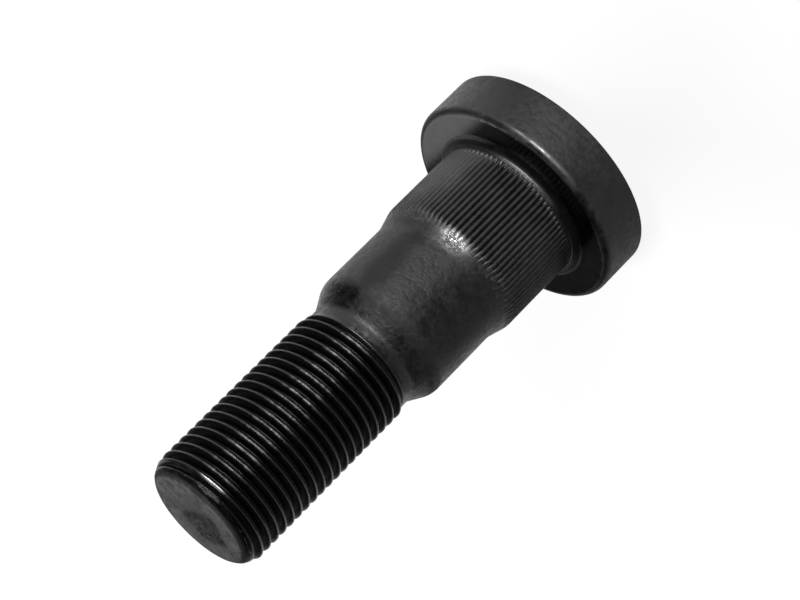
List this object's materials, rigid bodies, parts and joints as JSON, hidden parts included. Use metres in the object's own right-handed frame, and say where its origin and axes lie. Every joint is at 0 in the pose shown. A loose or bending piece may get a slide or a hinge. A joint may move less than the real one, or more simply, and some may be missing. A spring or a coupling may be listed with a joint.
{
  "type": "wheel bolt",
  "caption": "Press-in wheel bolt with a round flat head, a straight-splined land, a plain shank, a necked shoulder and a fine-threaded end, in dark phosphated steel.",
  "frame": {"origin": "centre of the head's outer face, which the bolt stands on", "axes": "+Z along the bolt's axis, from the head towards the thread's end"},
  "size_m": [0.0333, 0.0332, 0.0707],
  "materials": {
    "phosphated_steel": "dark oiled phosphate, semi-matt, with rubbed edges and a lighter matt thread end"
  },
  "bodies": {
    "root": {"wheel_bolt": "phosphated_steel"}
  },
  "joints": []
}
